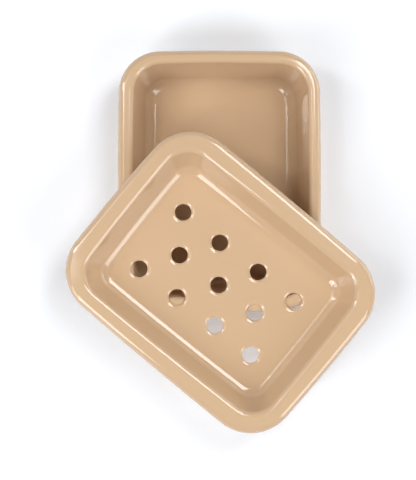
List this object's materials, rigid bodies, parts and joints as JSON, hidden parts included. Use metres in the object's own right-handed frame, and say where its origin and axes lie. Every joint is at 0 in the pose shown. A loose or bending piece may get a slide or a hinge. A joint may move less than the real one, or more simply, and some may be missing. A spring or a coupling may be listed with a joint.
{
  "type": "enamel soap dish",
  "caption": "Soap dish of enamelled steel: a shallow tray with round drain holes, laid across the rim of a deeper drip tray that it also nests in.",
  "frame": {"origin": "middle of the base tray's flat underside", "axes": "+Z up, out of both trays; +Y along the base tray's long side, away from the drainer tray; +X to the right seen from above with +Y up"},
  "size_m": [0.1568, 0.1958, 0.0472],
  "materials": {
    "enamel": "glossy cream-tan vitreous enamel fired on pressed sheet steel"
  },
  "bodies": {
    "root": {"base_tray": "enamel", "drainer_tray": "enamel"}
  },
  "joints": []
}
